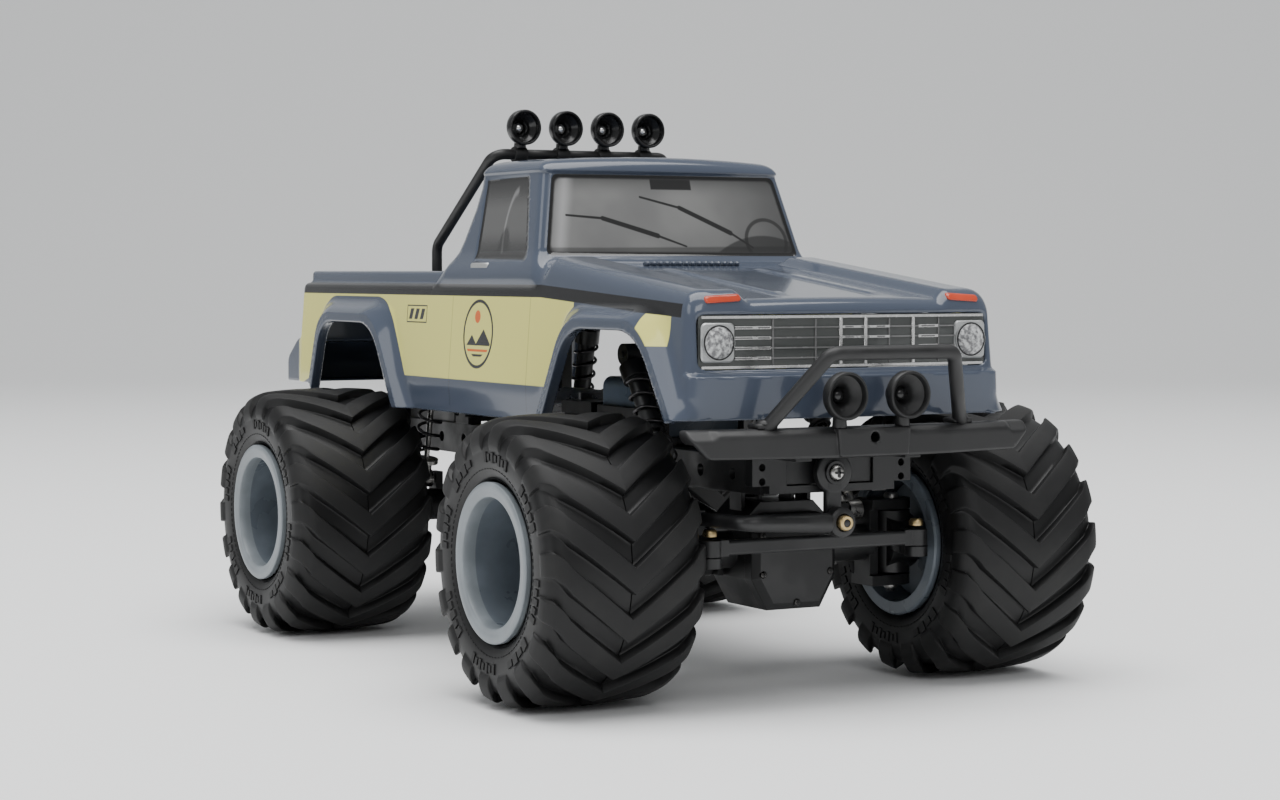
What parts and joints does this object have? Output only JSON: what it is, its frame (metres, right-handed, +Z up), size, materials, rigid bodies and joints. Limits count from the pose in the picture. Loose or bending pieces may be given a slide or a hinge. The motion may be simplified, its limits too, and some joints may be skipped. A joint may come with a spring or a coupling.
{
  "type": "remote control car",
  "caption": "Small radio control pickup monster truck: lift-off body, steered front axle, sprung live axles on links, drive train and big lugged tyres.",
  "frame": {"origin": "on the ground, under the middle of the overall length and width", "axes": "+Z up, the truck faces -Y, +X is the truck's left"},
  "size_m": [0.142, 0.25, 0.1353],
  "materials": {
    "amber": "amber",
    "bar_black": "satin black",
    "battery_wrap": "shrink wrap",
    "black_plastic": "satin black plastic",
    "blue_plastic": "gloss slate blue over a clear moulded shell",
    "clear": "clear",
    "gear_nylon": "natural nylon",
    "lamp_black": "gloss black",
    "motor_can": "zinc plated can",
    "rim_grey": "satin grey plastic",
    "rubber": "matte",
    "steel": "brushed steel"
  },
  "bodies": {
    "chassis": {"frame_rails": "black_plastic", "skid_plate": "black_plastic", "upper_link_plates": "black_plastic", "gearbox_case": "black_plastic", "motor": "motor_can", "shock_towers": "black_plastic", "front_crossmember": "black_plastic", "rear_crossmember": "black_plastic", "steering_servo": "black_plastic", "battery_tray": "black_plastic", "battery_pack": "battery_wrap", "radio_box": "black_plastic", "front_bumper": "black_plastic", "bull_bar": "bar_black", "fog_lamps": "lamp_black", "front_springs": "steel", "rear_springs": "steel"},
    "power_switch": {"power_switch": "black_plastic"},
    "body": {"body_shell": "blue_plastic", "grille_panel": "clear", "turn_signal_lenses": "amber", "roll_bar": "bar_black", "roof_lamps": "lamp_black"},
    "front_axle": {"front_axle_housing": "black_plastic", "front_diff_cover": "black_plastic"},
    "rear_axle": {"rear_axle_housing": "black_plastic", "rear_diff_cover": "black_plastic"},
    "left_knuckle": {"left_knuckle": "black_plastic"},
    "right_knuckle": {"right_knuckle": "black_plastic"},
    "tie_rod": {"tie_rod": "black_plastic", "tie_rod_screws": "steel"},
    "servo_horn": {"servo_horn": "black_plastic"},
    "drag_link_stud": {"drag_link_stud": "steel"},
    "drag_link": {"drag_link": "black_plastic"},
    "front_left_wheel": {"front_left_tyre": "rubber", "front_left_rim": "rim_grey", "front_left_stub_axle": "steel"},
    "front_right_wheel": {"front_right_tyre": "rubber", "front_right_rim": "rim_grey", "front_right_stub_axle": "steel"},
    "front_lower_links": {"front_lower_links": "black_plastic"},
    "front_upper_links": {"front_upper_links": "black_plastic"},
    "front_shock_bodies": {"front_shock_bodies": "black_plastic"},
    "front_shock_shafts": {"front_shock_shafts": "steel"},
    "front_shaft_boot": {"front_shaft_boot": "black_plastic"},
    "front_propshaft": {"front_propshaft": "steel"},
    "rear_left_wheel": {"rear_left_tyre": "rubber", "rear_left_rim": "rim_grey", "rear_left_stub_axle": "steel"},
    "rear_right_wheel": {"rear_right_tyre": "rubber", "rear_right_rim": "rim_grey", "rear_right_stub_axle": "steel"},
    "rear_lower_links": {"rear_lower_links": "black_plastic"},
    "rear_upper_links": {"rear_upper_links": "black_plastic"},
    "rear_shock_bodies": {"rear_shock_bodies": "black_plastic"},
    "rear_shock_shafts": {"rear_shock_shafts": "steel"},
    "rear_shaft_boot": {"rear_shaft_boot": "black_plastic"},
    "rear_propshaft": {"rear_propshaft": "steel"},
    "spur_gear": {"spur_gear": "gear_nylon"},
    "pinion_gear": {"pinion_gear": "steel"}
  },
  "joints": [
    {"name": "body_lift", "type": "slide", "parent": "chassis", "child": "body", "axis": [0, 0, 1], "range_m": [0, 0.07]},
    {"name": "switch_slide", "type": "slide", "parent": "chassis", "child": "power_switch", "axis": [1, 0, 0], "range_m": [0, 0.0022]},
    {"name": "front_heave", "type": "slide", "parent": "chassis", "child": "front_axle", "axis": [0, 0, 1], "range_m": [-0.004, 0.005], "stiffness_N_per_m": 420, "springref_m": -0.002, "deforming": ["front_springs"]},
    {"name": "rear_heave", "type": "slide", "parent": "chassis", "child": "rear_axle", "axis": [0, 0, 1], "range_m": [-0.004, 0.005], "stiffness_N_per_m": 420, "springref_m": -0.002, "deforming": ["rear_springs"]},
    {"name": "left_steer", "type": "hinge", "parent": "front_axle", "child": "left_knuckle", "pos_m": [0.033, -0.074, 0.032], "axis": [0, 0, 1], "range_deg": [-22, 22]},
    {"name": "right_steer", "type": "hinge", "parent": "front_axle", "child": "right_knuckle", "pos_m": [-0.033, -0.074, 0.032], "axis": [0, 0, 1], "range_deg": [-22, 22]},
    {"name": "tie_rod_pivot", "type": "hinge", "parent": "left_knuckle", "child": "tie_rod", "pos_m": [0.027, -0.093, 0.0347], "axis": [0, 0, 1], "range_deg": [-28, 28]},
    {"name": "horn_turn", "type": "hinge", "parent": "chassis", "child": "servo_horn", "pos_m": [-0.0015, -0.1022, 0.051], "axis": [0, 1, 0], "range_deg": [-40, 40]},
    {"name": "drag_link_level", "type": "hinge", "parent": "servo_horn", "child": "drag_link_stud", "pos_m": [-0.0015, -0.1052, 0.0403], "axis": [0, 1, 0], "range_deg": [-40, 40]},
    {"name": "drag_link_rise", "type": "hinge", "parent": "drag_link_stud", "child": "drag_link", "pos_m": [-0.0015, -0.1052, 0.0403], "axis": [0, 1, 0], "range_deg": [-12, 12]},
    {"name": "front_left_wheel_spin", "type": "hinge", "parent": "left_knuckle", "child": "front_left_wheel", "pos_m": [0.052, -0.074, 0.032], "axis": [1, 0, 0], "continuous": true},
    {"name": "front_right_wheel_spin", "type": "hinge", "parent": "right_knuckle", "child": "front_right_wheel", "pos_m": [-0.052, -0.074, 0.032], "axis": [1, 0, 0], "continuous": true},
    {"name": "rear_left_wheel_spin", "type": "hinge", "parent": "rear_axle", "child": "rear_left_wheel", "pos_m": [0.052, 0.066, 0.032], "axis": [1, 0, 0], "continuous": true},
    {"name": "rear_right_wheel_spin", "type": "hinge", "parent": "rear_axle", "child": "rear_right_wheel", "pos_m": [-0.052, 0.066, 0.032], "axis": [1, 0, 0], "continuous": true},
    {"name": "front_lower_links_swing", "type": "hinge", "parent": "chassis", "child": "front_lower_links", "pos_m": [0, -0.024, 0.0305], "axis": [1, 0, 0], "range_deg": [-12, 12]},
    {"name": "front_upper_links_swing", "type": "hinge", "parent": "chassis", "child": "front_upper_links", "pos_m": [0, -0.03, 0.0455], "axis": [1, 0, 0], "range_deg": [-12, 12]},
    {"name": "rear_lower_links_swing", "type": "hinge", "parent": "chassis", "child": "rear_lower_links", "pos_m": [0, 0.02, 0.0305], "axis": [1, 0, 0], "range_deg": [-12, 12]},
    {"name": "rear_upper_links_swing", "type": "hinge", "parent": "chassis", "child": "rear_upper_links", "pos_m": [0, 0.03, 0.0455], "axis": [1, 0, 0], "range_deg": [-12, 12]},
    {"name": "front_shock_body_swing", "type": "hinge", "parent": "chassis", "child": "front_shock_bodies", "pos_m": [0, -0.0482, 0.0755], "axis": [1, 0, 0], "range_deg": [-8, 8]},
    {"name": "front_shock_shaft_swing", "type": "hinge", "parent": "front_axle", "child": "front_shock_shafts", "pos_m": [0, -0.0735, 0.0395], "axis": [1, 0, 0], "range_deg": [-8, 8]},
    {"name": "rear_shock_body_swing", "type": "hinge", "parent": "chassis", "child": "rear_shock_bodies", "pos_m": [0, 0.0571, 0.0819], "axis": [1, 0, 0], "range_deg": [-8, 8]},
    {"name": "rear_shock_shaft_swing", "type": "hinge", "parent": "rear_axle", "child": "rear_shock_shafts", "pos_m": [0, 0.067, 0.039], "axis": [1, 0, 0], "range_deg": [-8, 8]},
    {"name": "front_shaft_tilt", "type": "hinge", "parent": "chassis", "child": "front_shaft_boot", "pos_m": [0, -0.0122, 0.044], "axis": [1, 0, 0], "range_deg": [-12, 12]},
    {"name": "front_shaft_spin", "type": "hinge", "parent": "front_shaft_boot", "child": "front_propshaft", "pos_m": [0, -0.0122, 0.044], "axis": [0, -0.9776, -0.2107], "continuous": true},
    {"name": "rear_shaft_tilt", "type": "hinge", "parent": "chassis", "child": "rear_shaft_boot", "pos_m": [0, 0.0102, 0.044], "axis": [1, 0, 0], "range_deg": [-12, 12]},
    {"name": "rear_shaft_spin", "type": "hinge", "parent": "rear_shaft_boot", "child": "rear_propshaft", "pos_m": [0, 0.0102, 0.044], "axis": [0, 0.9707, -0.2403], "continuous": true},
    {"name": "spur_spin", "type": "hinge", "parent": "chassis", "child": "spur_gear", "pos_m": [0, 0, 0.044], "axis": [0, 1, 0], "continuous": true},
    {"name": "pinion_spin", "type": "hinge", "parent": "chassis", "child": "pinion_gear", "pos_m": [0, 0, 0.057], "axis": [0, 1, 0], "continuous": true}
  ],
  "couplings": [
    {"joint": "right_steer", "follows": "left_steer", "ratio": 1},
    {"joint": "tie_rod_pivot", "follows": "left_steer", "ratio": -1.2129},
    {"joint": "horn_turn", "follows": "left_steer", "ratio": -1.1292},
    {"joint": "drag_link_level", "follows": "left_steer", "ratio": 1.1292},
    {"joint": "drag_link_rise", "follows": "front_heave", "rad_per_m": 36.364},
    {"joint": "front_left_wheel_spin", "follows": "rear_left_wheel_spin", "ratio": 1},
    {"joint": "front_right_wheel_spin", "follows": "rear_left_wheel_spin", "ratio": 1},
    {"joint": "rear_right_wheel_spin", "follows": "rear_left_wheel_spin", "ratio": 1},
    {"joint": "front_lower_links_swing", "follows": "front_heave", "rad_per_m": -22.472},
    {"joint": "front_upper_links_swing", "follows": "front_heave", "rad_per_m": -22.727},
    {"joint": "rear_lower_links_swing", "follows": "rear_heave", "rad_per_m": 24.691},
    {"joint": "rear_upper_links_swing", "follows": "rear_heave", "rad_per_m": 27.778},
    {"joint": "front_shock_body_swing", "follows": "front_heave", "rad_per_m": -13.068},
    {"joint": "front_shock_shaft_swing", "follows": "front_heave", "rad_per_m": -13.068},
    {"joint": "rear_shock_body_swing", "follows": "rear_heave", "rad_per_m": 5.1073},
    {"joint": "rear_shock_shaft_swing", "follows": "rear_heave", "rad_per_m": 5.1073},
    {"joint": "front_shaft_tilt", "follows": "front_heave", "rad_per_m": -20.595},
    {"joint": "front_shaft_spin", "follows": "rear_left_wheel_spin", "ratio": 3},
    {"joint": "rear_shaft_tilt", "follows": "rear_heave", "rad_per_m": 23.323},
    {"joint": "rear_shaft_spin", "follows": "rear_left_wheel_spin", "ratio": -3},
    {"joint": "spur_spin", "follows": "rear_left_wheel_spin", "ratio": -3},
    {"joint": "pinion_spin", "follows": "rear_left_wheel_spin", "ratio": 10}
  ]
}
